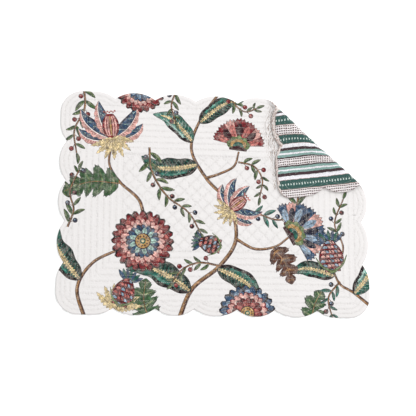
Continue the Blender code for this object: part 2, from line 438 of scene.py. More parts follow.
def foldedPlace(points, height):
    # points of the flat mat with their height off the middle layer, as they lie once folded, in metres
    reach = points - foldPoint
    on, s = reach @ along, reach @ across
    radius, turn, bend, slant, landing, start = foldParts(on)
    landingRadius = fold["landingRadius"]
    past = s - start
    angle = np.clip(past, 0, bend) / radius
    run = np.clip(past - bend, 0, slant)
    turned = np.clip(past - bend - slant, 0, landing) / landingRadius
    over = np.maximum(past - bend / 2, 0)
    out = np.minimum(s, start) + radius * np.sin(angle) + run * np.cos(angle)
    out -= landingRadius * (np.sin(turn) - np.sin(turn - turned))
    out -= np.maximum(past - bend - slant - landing, 0) + fold["stretch"] * over
    up = radius * (1 - np.cos(angle)) + run * np.sin(angle)
    up -= landingRadius * (np.cos(turn - turned) - np.cos(turn))
    slope = angle - turned
    out -= height * np.sin(slope)
    up += height * np.cos(slope)
    flat = foldPoint + along * (on + fold["skew"] * over)[:, None] + across * out[:, None]
    return np.column_stack([flat, quilting["puffed"] + up]) * mm


# the cloths' meshes

cloth = {
    "edgeRows": (0.3, 0.8, 1.5, 2.6, 4.2, 5.6, 6.4, 7.2, 8.8, 10.6, 12.3, 13.0, 13.7, 15.4, 17.4, 19.4),
    "edgeFan": 1.5,
    "edgeFine": 3.0,  # the rows nearer the edge than this have a point for each of the outline's
    "notchTurn": 0.9,  # the edge turns at a notch where its two ways agree less than this
    "rowSlack": 0.12,  # how much nearer the edge a row's point may come
    "rowClearance": 0.6,  # from the rows to the first rectangle
    "fieldClearance": 0.45,
    "rowsPerStrip": (0, 0.7, 2.0, 4.5, 7.0, 8.3),  # in from each rectangle's line
    "alongStrip": 4.0,
    "rowsPerDiamond": (0, 0.06, 0.2, 0.5, 0.8, 0.94),  # as a share of its side
    "alongDiamond": 2.6,
    "bendRow": 0.85,
    "alongBend": 1.9,
    "pastBend": 30.0,
    "bendMargin": 0.3,
    "creaseRows": (-1.3, -0.6, 0, 0.6, 1.3),
    "creaseStep": 1.5,
    "creaseMargin": 0.5,
    "merge": 1e-4,  # points nearer each other than this become one
    "onEdge": 0.03,  # and nearer the edge than this they lie on it
    "normalStep": 0.05,
}


class Pattern:
    # points and lines of the flat mat, which the triangulation keeps

    def __init__(self):
        self.points, self.edges, self.count = [], [], 0

    def add(self, points, joined=False, closed=False):
        at, size = self.count, len(points)
        self.points.append(np.asarray(points, float))
        self.count += size
        if joined:
            self.edges += [(at + i, at + i + 1) for i in range(size - 1)]
        if closed:
            self.edges.append((at + size - 1, at))

    def addWithin(self, points, margin):
        # only those further in than that from the scalloped edge
        self.add(points[(fromSides(points) > 0) & (fromEdge(points)[0] > margin)])


def edgeRow(row, skip, fanStep):
    # points at one distance in from the scalloped edge, and the way that leads in
    before, after = np.roll(outline, 1, 0), np.roll(outline, -1, 0)
    into, outOf = quarterTurn(unit(outline - before)), quarterTurn(unit(after - outline))
    sharp = (into * outOf).sum(1) < cloth["notchTurn"]  # the notches, where the rows fan out
    points = [outline[::skip] + row * ((into + outOf) / 2)[::skip]]
    for at in np.flatnonzero(sharp):
        fan = np.linspace(0, 1, 3 + int(row / fanStep))[:, None]
        points.append(outline[at] + row * unit(into[at] * (1 - fan) + outOf[at] * fan))
    points = np.concatenate(points)
    edge, inwards = fromEdge(points)
    keep = edge > row - cloth["rowSlack"]
    keep &= fromSides(points) < quilting["first"] - cloth["rowClearance"]
    return points[keep], inwards[keep]


def edgeRows(pattern):
    pattern.add(outline, joined=True, closed=True)
    for row in cloth["edgeRows"]:
        pattern.add(edgeRow(row, 1 if row < cloth["edgeFine"] else 2, cloth["edgeFan"])[0])


def rectanglePoints(inward, step):
    x, y = halfLength - inward, halfWidth - inward
    corners = [(-x, -y), (x, -y), (x, y), (-x, y)]
    return np.concatenate([linePoints(a, b, step) for a, b in zip(corners, corners[1:] + corners[:1])])


def stripRows(pattern):
    for number in range(quilting["rectangles"]):
        last = number == quilting["rectangles"] - 1
        for row in cloth["rowsPerStrip"][: 1 if last else None]:
            inward = quilting["first"] + number * quilting["pitch"] + row
            points = rectanglePoints(inward, cloth["alongStrip"])
            pattern.add(points + wander(points), joined=row == 0, closed=row == 0)


def fieldLines():
    # the two families of slanting lines, each cut to the field
    lines = []
    for lean in (1, -1):
        for i in range(1 - quilting["across"], quilting["along"]):
            low, high = max(-i, 0), min(quilting["along"] - i, quilting["across"])
            ends = [(-fieldX + 2 * diamondX * (i + j), -fieldY + 2 * diamondY * j) for j in (low, high)]
            lines.append([(lean * x, y) for x, y in ends])
    return lines


def diamondRows(pattern):
    cells = quilting["along"] + quilting["across"]
    steps = np.array([i + part for i in range(-cells, cells + 1) for part in cloth["rowsPerDiamond"]])
    p, q = (grid.ravel() for grid in np.meshgrid(steps, steps))
    points = np.stack([(p + q) * diamondX - fieldX, (p - q) * diamondY - fieldY], 1)
    points = points[fromSides(points) > fieldInset + cloth["fieldClearance"]]
    pattern.add(points + wander(points))
    for line in fieldLines():
        points = linePoints(*line, cloth["alongDiamond"])[1:]
        pattern.add(points + wander(points), joined=True)


def bendRows(pattern):
    # denser rows over the bend, which follow its bulge
    past = cloth["pastBend"]
    stations = np.arange(-past, foldLength + past, cloth["alongBend"])
    _, _, bend, _, _, start = foldParts(stations)
    for share in np.linspace(0, 1, math.ceil(bend.max() / cloth["bendRow"]) + 1):
        s = start + bend * share
        points = foldPoint + along * stations[:, None] + across * s[:, None]
        pattern.addWithin(points, cloth["bendMargin"])


def creaseRows(pattern):
    # points close enough together for the creases' narrow troughs
    for line, _, reach in creases:
        line = smoothCurve(line, cloth["creaseStep"])
        for side in cloth["creaseRows"]:
            pattern.addWithin(line + leftOf(line) * side * reach, cloth["creaseMargin"])


def quiltedPattern():
    pattern = Pattern()
    for rows in (edgeRows, stripRows, diamondRows, bendRows):
        rows(pattern)
    return pattern


def triangulate(pattern):
    points = [Vector(p) for p in np.concatenate(pattern.points)]
    verts, _, faces, *_ = delaunay_2d_cdt(points, pattern.edges, [], 0, cloth["merge"], False)
    verts = np.array([tuple(v) for v in verts])
    faces = np.array([f for f in faces if len(f) == 3])
    middles = verts[faces].mean(1)
    inward = fromSides(middles)
    keep = inward > cut["notchDepth"] + 0.5
    rim = np.flatnonzero(~keep & (inward > 0))
    keep[rim] = insidePolygon(middles[rim], outline)
    faces = faces[keep]
    a, b, c = (verts[faces[:, i]] for i in range(3))
    turned = (b[:, 0] - a[:, 0]) * (c[:, 1] - a[:, 1]) < (b[:, 1] - a[:, 1]) * (c[:, 0] - a[:, 0])
    faces[turned] = faces[turned][:, ::-1]
    used, index = np.unique(faces, return_inverse=True)
    return verts[used], index.reshape(-1, 3)


def onCloth(points, side, seed):
    # where flat points lie on one cloth, and the ways it runs eastward and northward there
    edge, inwards = fromEdge(points)
    edge[edge < cloth["onEdge"]] = 0

    def place(shift):
        shifted = points + shift
        moved = np.maximum(edge + inwards @ np.asarray(shift), 0)
        height = side * halfThickness(shifted, moved, seed) + edgeDroop(shifted, moved)
        return foldedPlace(shifted, height)

    step = cloth["normalStep"]
    return place((0, 0)), place((step, 0)) - place((-step, 0)), place((0, step)) - place((0, -step))


bakeMap = np.array([460.0, 334.0])  # the flat cut's place in the map, in millimetres


def putAttribute(mesh, name, values):
    kind, field = ("FLOAT", "value") if values.ndim == 1 else ("FLOAT_VECTOR", "vector")
    mesh.attributes.new(name, kind, "POINT").data.foreach_set(field, values.astype(np.float32).ravel())


def addObject(name, data):
    thing = bpy.data.objects.new(name, data)
    bpy.context.scene.collection.objects.link(thing)
    return thing


def sheetMesh(name, verts, faces, side, seed):
    here, eastward, northward = onCloth(verts, side, seed)
    normal = unit(np.cross(eastward, northward) * side)
    mesh = bpy.data.meshes.new(name)
    mesh.from_pydata(here.tolist(), [], (faces if side > 0 else faces[:, ::-1]).tolist())
    mesh.shade_smooth()
    edge, _ = fromEdge(verts)
    putAttribute(mesh, "seam", 1 - np.clip(toStitches(verts, edge) / quilting["rise"], 0, 1))
    putAttribute(mesh, "edge", np.clip(edge, 0, 9))
    layer = mesh.uv_layers.new(name="OFBake")
    corners = np.zeros(len(mesh.loops), np.int32)
    mesh.loops.foreach_get("vertex_index", corners)
    layer.data.foreach_set("uv", ((verts + bakeMap / 2) / bakeMap)[corners].astype(np.float32).ravel())
    mesh.normals_split_custom_set_from_vertices(normal.tolist())
    print(name, len(faces), "triangles")
    return addObject(name, mesh)


# the stitches

stitch = {
    "pitch": 3.0,
    "fan": 4.0,  # between stitches where the echo lines turn at a notch
    "length": 2.1,
    "width": 0.36,
    "thickness": 0.28,
    "lift": 0.15,  # off the cloth, as a share of the thickness
    "unevenness": 0.16,
    "seed": 5,
}


def stitchPoints():
    # a point for each stitch on the flat mat, and the way its line runs there
    pitch, first, apart = stitch["pitch"], quilting["first"], quilting["pitch"]
    lines = [rectanglePoints(first + number * apart, pitch) for number in range(quilting["rectangles"])]
    lines += [linePoints(*line, pitch)[1:] for line in fieldLines()]
    lines = [line + wander(line) for line in lines]
    points, ways = lines, [unit(np.gradient(line, axis=0)) for line in lines]
    for row, end in ((quilting["echo"], first), (quilting["secondEcho"], quilting["secondEchoEnd"])):
        at, inwards = edgeRow(row, 2, stitch["fan"])
        keep = fromSides(at) < end
        points.append(at[keep])
        ways.append(quarterTurn(inwards[keep]))
    return np.concatenate(points), np.concatenate(ways)


def putValue(tree, value, socket):
    if isinstance(value, bpy.types.NodeSocket):
        tree.links.new(value, socket)
    else:
        socket.default_value = value


def addNode(tree, kind, inputs=None, **settings):
    node = tree.nodes.new(kind)
    for key, value in settings.items():
        setattr(node, key, value)
    for key, value in (inputs or {}).items():
        putValue(tree, value, node.inputs[key])
    return node


def stitchTree():
    tree = bpy.data.node_groups.new("stitches", "GeometryNodeTree")
    kinds = {"Geometry": "Geometry", "Length": "Float", "Width": "Float", "Thickness": "Float",
             "Unevenness": "Float", "Seed": "Int", "Thread": "Material"}
    for name, kind in kinds.items():
        tree.interface.new_socket(name, in_out="INPUT", socket_type="NodeSocket" + kind)
    tree.interface.new_socket("Geometry", in_out="OUTPUT", socket_type="NodeSocketGeometry")
    given = addNode(tree, "NodeGroupInput").outputs

    def step(kind, inputs, output=0, **settings):
        return addNode(tree, kind, inputs, **settings).outputs[output]

    def calculate(operation, a, b):
        return step("ShaderNodeMath", {0: a, 1: b}, operation=operation)

    def vector(name):
        return step("GeometryNodeInputNamedAttribute", {"Name": name}, data_type="FLOAT_VECTOR")

    halves = [calculate("MULTIPLY", given[name], 0.5) for name in ("Length", "Width", "Thickness")]
    size = step("ShaderNodeCombineXYZ", dict(enumerate(halves)))
    bead = step("GeometryNodeTransform", {"Geometry": step("GeometryNodeMeshIcoSphere", {}), "Scale": size})
    ways, axes = {0: vector("way"), 1: vector("up")}, {"primary_axis": "X", "secondary_axis": "Z"}
    turn = step("FunctionNodeAxesToRotation", ways, **axes)
    least, most = (calculate(sign, 1.0, given["Unevenness"]) for sign in ("SUBTRACT", "ADD"))
    vary = step("FunctionNodeRandomValue", {2: least, 3: most, "Seed": given["Seed"]}, 1, data_type="FLOAT")
    places = {"Points": given["Geometry"], "Instance": bead, "Rotation": turn, "Scale": vary}
    real = step("GeometryNodeRealizeInstances", {"Geometry": step("GeometryNodeInstanceOnPoints", places)})
    dressed = step("GeometryNodeSetMaterial", {"Geometry": real, "Material": given["Thread"]})
    addNode(tree, "NodeGroupOutput", {0: dressed})
    return tree


def sewStitches(name, side, seed, thread, tree):
    points, ways = stitchPoints()
    here, eastward, northward = onCloth(points, side, seed)
    up = unit(np.cross(eastward, northward) * side)
    way = unit(eastward * ways[:, :1] + northward * ways[:, 1:])
    mesh = bpy.data.meshes.new(name + "Places")
    mesh.from_pydata((here + up * stitch["thickness"] * stitch["lift"] * mm).tolist(), [], [])
    putAttribute(mesh, "way", way)
    putAttribute(mesh, "up", up)
    thing = addObject(name, mesh)
    sewing = thing.modifiers.new("stitches", "NODES")
    sewing.node_group = tree
    values = {key.title(): stitch[key] * mm for key in ("length", "width", "thickness")}
    values.update({"Unevenness": stitch["unevenness"], "Seed": stitch["seed"], "Thread": thread})
    for socket in tree.interface.items_tree:
        if socket.in_out == "INPUT" and socket.name in values:
            sewing[socket.identifier] = values[socket.name]
    seen = thing.evaluated_get(bpy.context.evaluated_depsgraph_get())
    sewn = bpy.data.meshes.new_from_object(seen)
    thing.modifiers.clear()
    thing.data = sewn
    sewn.name = name
    sewn.shade_smooth()
    print(name, len(points), "stitches,", len(sewn.polygons), "triangles")
    return thing


# the print: a traditional flowering-branch design, drawn here shape by shape

inks = {
    "ink": "#1C1517", "bark": "#654134", "tan": "#AD845A", "straw": "#F4DDA8", "gold": "#D2A767",
    "forest": "#17362F", "teal": "#2C6A5B", "sea": "#4B9282", "mist": "#B8DCD0",
    "moss": "#466A46", "olive": "#758B5B", "sprout": "#AEBC8C",
    "navy": "#21293F", "slate": "#3D5C7B", "sky": "#A0B9CF",
    "brick": "#862A2F", "wine": "#401920", "rose": "#D07870", "blush": "#F1B8AE", "shell": "#F4D6CD",
    "cream": "#F6F1ED",
}


def hexColor(code):
    parts = [int(code[i : i + 2], 16) / 255 for i in (1, 3, 5)]
    return tuple(p / 12.92 if p <= 0.04045 else ((p + 0.055) / 1.055) ** 2.4 for p in parts)


groundColor = hexColor("#ECE9E8")


def between(line, low, high):
    # the shape between two distances to the left of a line
    side = leftOf(line)
    return np.vstack([line + side * high[:, None], (line + side * low[:, None])[::-1]])


fullTurn = 2 * math.pi


def onCircle(radius, count, start=0.0, end=fullTurn, center=(0, 0)):
    angle = np.linspace(start, end, count, endpoint=end - start < fullTurn)
    return np.asarray(center) + radius * np.column_stack([np.cos(angle), np.sin(angle)])


def leafProfile(count, width, fullest=0.75):
    t = np.linspace(0, 1, count)
    return width / 2 * np.sin(math.pi * t**fullest) ** 0.85


def toward(angle):
    return np.array([math.cos(angle), math.sin(angle)])


def outermostFirst(count):
    return np.argsort(-np.abs(np.arange(count) - (count - 1) / 2))


class Painter:
    # gathers filled shapes in the order they are printed, each motif at its own place and turn

    def __init__(self, seed):
        self.shapes = []
        self.random = np.random.default_rng(seed)
        self.at, self.angle = np.zeros(2), 0.0

    def place(self, at, degrees):
        self.at, self.angle = np.asarray(at, float), math.radians(degrees)

    def spine(self, at, degrees, points, step):
        # a motif's middle line, at its own place and turn: its points, their number, how far along each is
        self.place(at, degrees)
        line = smoothCurve(points, step)
        return line, len(line), np.linspace(0, 1, len(line))

    def fill(self, points, ink):
        c, s = math.cos(self.angle), math.sin(self.angle)
        self.shapes.append((self.at + np.asarray(points, float) @ np.array([[c, s], [-s, c]]), ink))

    def band(self, line, low, high, ink, grow=0.0, edge="ink", part=slice(None)):
        # between two distances to the left of a line, or a part of it, with a darker edge round it
        line, low, high = line[part], low[part], high[part]
        if grow:
            self.fill(between(line, low - grow, high + grow), edge)
        self.fill(between(line, low, high), ink)

    def stroke(self, points, width, ink, taper=1.0, step=2.2):
        line = smoothCurve(points, step)
        half = np.linspace(width / 2, width / 2 * taper, len(line))
        self.band(line, -half, half, ink)

    def dot(self, center, radius, ink, count=8):
        self.fill(onCircle(radius, count, center=center), ink)


def drawSmallLeaf(paint, at, degrees, length, ink, shade):
    paint.place(at, degrees)
    bend = length * paint.random.uniform(-0.06, 0.1)
    line = smoothCurve([(0, 0), (length / 2, bend), (length, 0)], max(length / 7, 1.9))
    profile = leafProfile(len(line), length * 0.27, 0.9)
    paint.band(line, -profile, profile, ink, 0.6)
    paint.band(line, -profile, -0.15 * profile, shade, part=slice(-1))
    paint.stroke([(length * 0.1, 0.1), (length * 0.5, bend), (length * 0.86, 0)], 0.6, "ink", 0.5, 5)


def drawBerry(paint, at, radius, ink, light):
    paint.place(at, 0)
    paint.dot((0, 0), radius + 0.45, "ink", 10)
    paint.dot((0, 0), radius, ink, 9)
    paint.dot((-radius * 0.3, radius * 0.3), radius * 0.38, light, 5)


def drawStem(paint, points, width):
    paint.place((0, 0), 0)
    line = smoothCurve(points, 3.0)
    half = np.linspace(width / 2, width / 4, len(line))
    paint.fill(between(line, -half - 0.6, half + 0.5), "wine")
    paint.band(line, -half, half, "tan")
    paint.band(line, -half, -0.25 * half, "bark")


spray = {
    "lean": 44,  # degrees between stem and leaves
    "leanSpread": 9,
    "narrowing": 0.35,
    "leafSpread": (0.85, 1.15),
    "berry": 3.3,
    "berryStalk": 8.5,
    "berryEvery": 3,
}


def drawSpray(paint, points, sizes, inkPair, berries, bare=0.0):
    # a stem with small leaves on both sides, and berries at some of them
    leaf, spacing, width = sizes
    drawStem(paint, points, width)
    line = smoothCurve(points, 1.0)
    side = leftOf(line)
    for number, at in enumerate(np.arange(max(spacing * 0.6, bare), len(line) - 2, spacing)):
        at = int(at)
        way = math.degrees(math.atan2(-side[at][0], side[at][1]))
        share = 1 - spray["narrowing"] * at / len(line)
        for sign in (1, -1):
            spread = sign * (spray["lean"] + paint.random.uniform(-spray["leanSpread"], spray["leanSpread"]))
            start = line[at] + side[at] * sign * width * 0.3
            if (number + (sign > 0)) % spray["berryEvery"] == 0:
                tip = start + spray["berryStalk"] * toward(math.radians(way + spread))
                paint.place((0, 0), 0)
                paint.stroke([start, (start + tip) / 2 + side[at] * 0.8, tip], 0.9, "bark")
                drawBerry(paint, tip, spray["berry"], *berries[number % len(berries)])
            else:
                length = leaf * share * paint.random.uniform(*spray["leafSpread"])
                drawSmallLeaf(paint, start, way + spread, length, *inkPair)
    way = math.degrees(math.atan2(-side[-1][0], side[-1][1]))
    drawSmallLeaf(paint, line[-1], way, leaf * 0.8, *inkPair)


def drawBroadLeaf(paint, at, degrees, length, width, bow, ink="teal", shade="forest", light="sea"):
    # a long pointed leaf: dark on one side, its midrib pale and feathered
    course = [(0, 0), (length * 0.35, bow * 0.75), (length * 0.7, bow), (length, bow * 0.1)]
    line, count, t = paint.spine(at, degrees, course, 2.0)
    wave = 1 + 0.09 * np.sin(t * length / 5.5)
    profile = leafProfile(count, width) * wave
    dark = int(count * 0.6)
    paint.band(line, -profile, profile, ink, 0.8)
    paint.band(line, -profile, -0.42 * profile * t**0.4, shade, part=slice(count * 3 // 4))
    paint.band(line, (0.35 + 0.6 * t) * profile, profile, "ink", part=slice(dark))
    paint.band(line, 0.5 * profile, 0.7 * profile, light, part=slice(count // 5, count * 4 // 5))
    side = leftOf(line)
    for at in range(2, count - 4, 3):
        for sign in (1, -1):
            out = side[at] * sign
            start, end = line[at], line[at + 3] + out * profile[at] * 0.9
            vein = light if sign < 0 or at < dark - 3 else "ink"
            paint.stroke([start, (start + end) / 2 + out * 0.8, end], 0.8, vein, 0.5, 4)
    feather = np.where(np.arange(count) % 2 == 0, 0.36, 0.1) * profile * (1 - 0.6 * t) + 0.3
    paint.band(line, -feather, feather, "straw", 0.3, "bark", slice(1, int(count * 0.86)))
    paint.stroke(line[: count * 2 // 3 : 4], 0.6, "bark", 0.6)


def drawFringedPetal(paint, at, degrees, length, width, bow):
    # a curling petal, fringed along its outer side
    course = [(0, 0), (length * 0.4, bow * 0.8), (length * 0.75, bow), (length, bow * 0.35)]
    line, count, t = paint.spine(at, degrees, course, 1.6)
    profile = leafProfile(count, width, 0.85)
    fringe = profile * (1 + 0.16 * np.abs(np.sin(t * length / 3.0))) * 1.25
    paint.band(line, -0.5 * profile, fringe + 0.5, "brick")
    paint.band(line, -0.4 * profile, fringe, "blush")
    side = leftOf(line)
    for at in range(2, count - 2, 2):
        start = line[at] + side[at] * profile[at] * 0.62
        end = line[at + 1] + side[at] * profile[at] * 1.2
        paint.stroke([start, end], 0.6, "brick", 0.6)
    paint.band(line, -profile - 0.45, 0.62 * profile + 0.35, "cream")
    paint.band(line, -profile - 0.1, 0.5 * profile + 0.1, "navy")
    paint.band(line, -0.72 * profile, 0.36 * profile, "slate")
    for share in (0.25, 0.42, 0.6, 0.76):
        at = int(share * count)
        for low, high, ahead, *look in ((-0.35, 0.15, 3, 1.3, "mist", 0.3), (0.1, -0.2, 4, 0.6, "ink", 0.5)):
            start = line[at] + side[at] * profile[at] * low
            end = line[min(at + ahead, count - 1)] + side[at] * profile[at] * high
            paint.stroke([start, end], *look)


def drawLobedLeaf(paint, at, degrees, length, width, lobes, bow, ink="moss", light="olive", edge="forest"):
    # a leaf cut deep into toothed lobes
    line, count, t = paint.spine(at, degrees, [(0, 0), (length * 0.5, bow), (length, 0)], 1.4)
    envelope = width / 2 * np.sin(math.pi * (0.12 + 0.88 * t) ** 0.7) ** 0.8
    lobe = np.abs(np.sin(math.pi * lobes * t)) ** 0.6
    teeth = 1 + 0.13 * np.sin(t * length * 1.7)
    reach = envelope * (0.3 + 0.7 * lobe * teeth) + 0.4
    side = leftOf(line)
    ahead = -quarterTurn(side)

    def cutLeaf(size, grow):
        out, on = side * (reach * size + grow)[:, None], ahead * (reach * size * 0.45)[:, None]
        return np.vstack([line + out + on, (line - out + on)[::-1]])

    paint.fill(cutLeaf(1.0, 0.8), edge)
    paint.fill(cutLeaf(0.97, 0), ink)
    for number in range(lobes):
        middle = int((number + 0.5) / lobes * count)
        for sign in (1, -1):
            tip = line[middle] + (side[middle] * sign + ahead[middle] * 0.45) * reach[middle] * 0.72
            root = line[middle] + side[middle] * sign * 1.2
            paint.stroke([root, tip], min(2.6, width * 0.09), light, 0.4)
            paint.stroke([line[max(middle - 4, 0)], (root + tip) / 2, tip], 0.55, edge, 0.5)
    paint.stroke(line[:: max(1, count // 5)], 1.5, "tan", 0.4)


cleft = (  # a cleft petal's tip: how far across, and how far out
    (-1, 0.72), (-0.92, 0.88), (-0.6, 1.0), (-0.25, 0.98), (0, 0.86),
    (0.25, 0.98), (0.6, 1.0), (0.92, 0.88), (1, 0.72),
)


def drawRosette(paint, at, radius, turn, count, outer, outerLight, inner, innerLight):
    # a full round flower: two rings of cleft petals about a seeded heart
    sideways, rise = np.array(cleft).T
    for ring, (far, near, ink, light, edge) in enumerate((
        (1.0, 0.58, outer, outerLight, "ink"),
        (0.74, 0.36, "blush", "shell", "brick"),
        (0.54, 0.2, inner, innerLight, "wine"),
    )):
        petals = count if ring < 2 else count - 3
        for number in range(petals):
            share = 360 / petals
            paint.place(at, turn + ring * (360 / count) / 2 + number * share)
            half = radius * far * math.tan(math.radians(share / 2)) * 1.02
            tip = np.column_stack([rise * radius * far, sideways * half * 0.96])
            root = [(radius * near * 0.8, half * 0.35), (radius * near * 0.8, -half * 0.35)]
            paint.fill(np.vstack([tip * (1.02, 1.06) + (0.3, 0), root]), edge)
            paint.fill(np.vstack([tip * (0.985, 0.86), root]), ink)
            middle, end = (radius * (near + far) * 0.48, half * 0.12), (radius * far * 0.86, 0)
            lens = smoothCurve([(radius * near, 0), middle, end], 2.5)
            profile = leafProfile(len(lens), half * 0.9)
            paint.band(lens, -profile, profile, light)
            paint.stroke([(radius * near, 0), (radius * far * 0.8, 0)], 0.7, edge, 0.6, 4)
    paint.place(at, turn)
    paint.dot((0, 0), radius * 0.27, "wine", 16)
    paint.dot((0, 0), radius * 0.235, "gold", 16)
    for number in range(10):
        paint.dot(radius * 0.165 * toward(fullTurn * number / 10), radius * 0.035, "bark", 5)
    paint.dot((0, 0), radius * 0.1, "teal", 8)
    paint.dot((0, 0), radius * 0.05, "straw", 6)


def drawScale(paint, root, tip, width, ink):
    line = smoothCurve([root, (np.asarray(root) + tip) / 2, tip], 2.0)
    profile = leafProfile(len(line), width * 2, 0.9)
    paint.band(line, -profile, profile, ink, 0.4)


def drawFan(paint, at, degrees, radius, petals=9, spread=150, ink="slate", light="sky", shade="navy"):
    # a fan of toothed petals, like a carnation's, on a scaly cup
    for number in outermostFirst(petals):
        angle = -spread / 2 + spread * number / (petals - 1)
        far = radius * (1 - 0.1 * abs(angle) / spread * 2)
        paint.place(at, degrees + angle)
        half = far * math.tan(math.radians(spread / (petals - 1) / 2)) * 1.15
        teeth = np.linspace(-1, 1, 9)
        tip = np.column_stack([far * (1 - 0.1 * teeth**2 - 0.07 * (np.arange(9) % 2)), teeth * half])
        petalInk = "blush" if number % 3 == 1 else ink
        for size, foot, color in ((1.02, 1.08), 0.8, "wine"), ((1, 1), 0.6, petalInk):
            paint.fill(np.vstack([tip * size, [(radius * 0.2, foot), (radius * 0.2, -foot)]]), color)
        low, high = radius * 0.32, far * 0.84
        lens = smoothCurve([(low, 0), ((low + high) / 2, 0.4), (high, 0)], 2.6)
        profile = leafProfile(len(lens), half * 1.1, 1.2)
        paint.band(lens, -profile, profile, shade if number % 2 else light)
        paint.stroke([(low, 0), (far * 0.9, 0)], 0.7, "ink", 0.6, 4)
    paint.place(at, degrees)
    paint.fill(onCircle(radius * 0.3, 14, -1.9, 1.9), "wine")
    for row, (far, color) in enumerate(((0.42, "olive"), (0.31, "gold"), (0.2, "teal"))):
        for number in range(5 - row):
            tip = radius * far * toward(math.radians((number - (4 - row) / 2) * 34))
            drawScale(paint, tip * 0.35, tip, radius * 0.13, color)


def drawSeedHead(paint, at, degrees, length, width, ink, light):
    # a scaly seed head with a leafy crown
    paint.place(at, degrees)
    for number in range(-3, 4):
        root = np.array([length * 0.9, number * width * 0.05])
        tip = root + length * 0.42 * toward(math.radians(number * 17))
        drawScale(paint, root, tip, width * 0.085, "slate" if number % 2 else "teal")
    t = np.linspace(0, 1, max(12, int(length / 2)))
    half = width / 2 * np.sin(math.pi * t**0.8) ** 0.6
    line = np.column_stack([t * length, 0 * t])
    paint.band(line, -half, half, ink, 0.7, "wine")
    rows = max(4, round(length / 6.5))
    size = length / rows * 0.72
    for row in range(rows, 0, -1):
        x = length * (row - 0.35) / rows
        full = width / 2 * math.sin(math.pi * (x / length) ** 0.8) ** 0.6
        scales = max(2, round(full / 3.2)) + row % 2
        for number in range(scales):
            middle = x - size * 0.6, full * 0.86 * (2 * (number + 0.5) / scales - 1)
            paint.fill(onCircle(size, 7, -1.75, 1.75, middle), "wine")
            color = light if (row + number) % 3 else "sky"
            paint.fill(onCircle(size * 0.74, 7, -1.6, 1.6, middle), color)
    for sign in (1, -1):
        base = [(0, 0), (length * 0.2, sign * width * 0.42), (length * 0.5, sign * width * 0.66)]
        paint.stroke(base, width * 0.16, "ink", 0.2)
        paint.stroke(base, width * 0.12, "olive", 0.2)


def drawBracts(paint, at, degrees, length, count, spread=150):
    # jagged straw-coloured leaves that fan out
    for number in outermostFirst(count):
        paint.place(at, degrees - spread / 2 + spread * number / (count - 1))
        line = smoothCurve([(0, 0), (length * 0.5, length * 0.04), (length, 0)], 1.7)
        jag = np.where(np.arange(len(line)) % 3 == 0, 0.55, 1.0)
        profile = leafProfile(len(line), length * 0.3) * jag
        paint.band(line, -profile, profile, "straw", 0.4, "bark")
        paint.stroke([(1, 0), (length * 0.8, 0)], 0.8, "bark", 0.4)


def drawTulip(paint, at, degrees, size):
    # a flower in profile: curling fringed petals about a striped cup on jagged bracts
    petals = ((66, 0.85, -0.2), (-66, 0.85, 0.2), (38, 1.05, -0.22), (-38, 1.05, 0.22), (12, 1.0, -0.1))
    for turn, length, bow in petals:
        flip = 1 if bow < 0 else -1
        drawFringedPetal(paint, at, degrees + turn, size * length, size * 0.3 * flip, size * bow * -0.6)
    paint.place(at, degrees)
    cup = np.linspace(0, 1, 12)
    line = np.column_stack([cup * size * 0.62, 0 * cup])
    half = size * 0.2 * np.sin(math.pi * (0.08 + 0.84 * cup)) ** 0.7
    paint.band(line, -half, half, "brick", 0.6, "wine")
    for share in (-0.66, -0.33, 0, 0.33, 0.66):
        stripe = "blush" if share else "gold"
        paint.band(line, half * (share - 0.1), half * (share + 0.1), stripe, part=slice(1, -1))
    for number in range(-3, 4):
        paint.dot((size * 0.66 + 1.5 * (number % 2), number * size * 0.045), 1.5, "rose", 6)
    drawBracts(paint, at, degrees + 180, size * 0.55, 7)


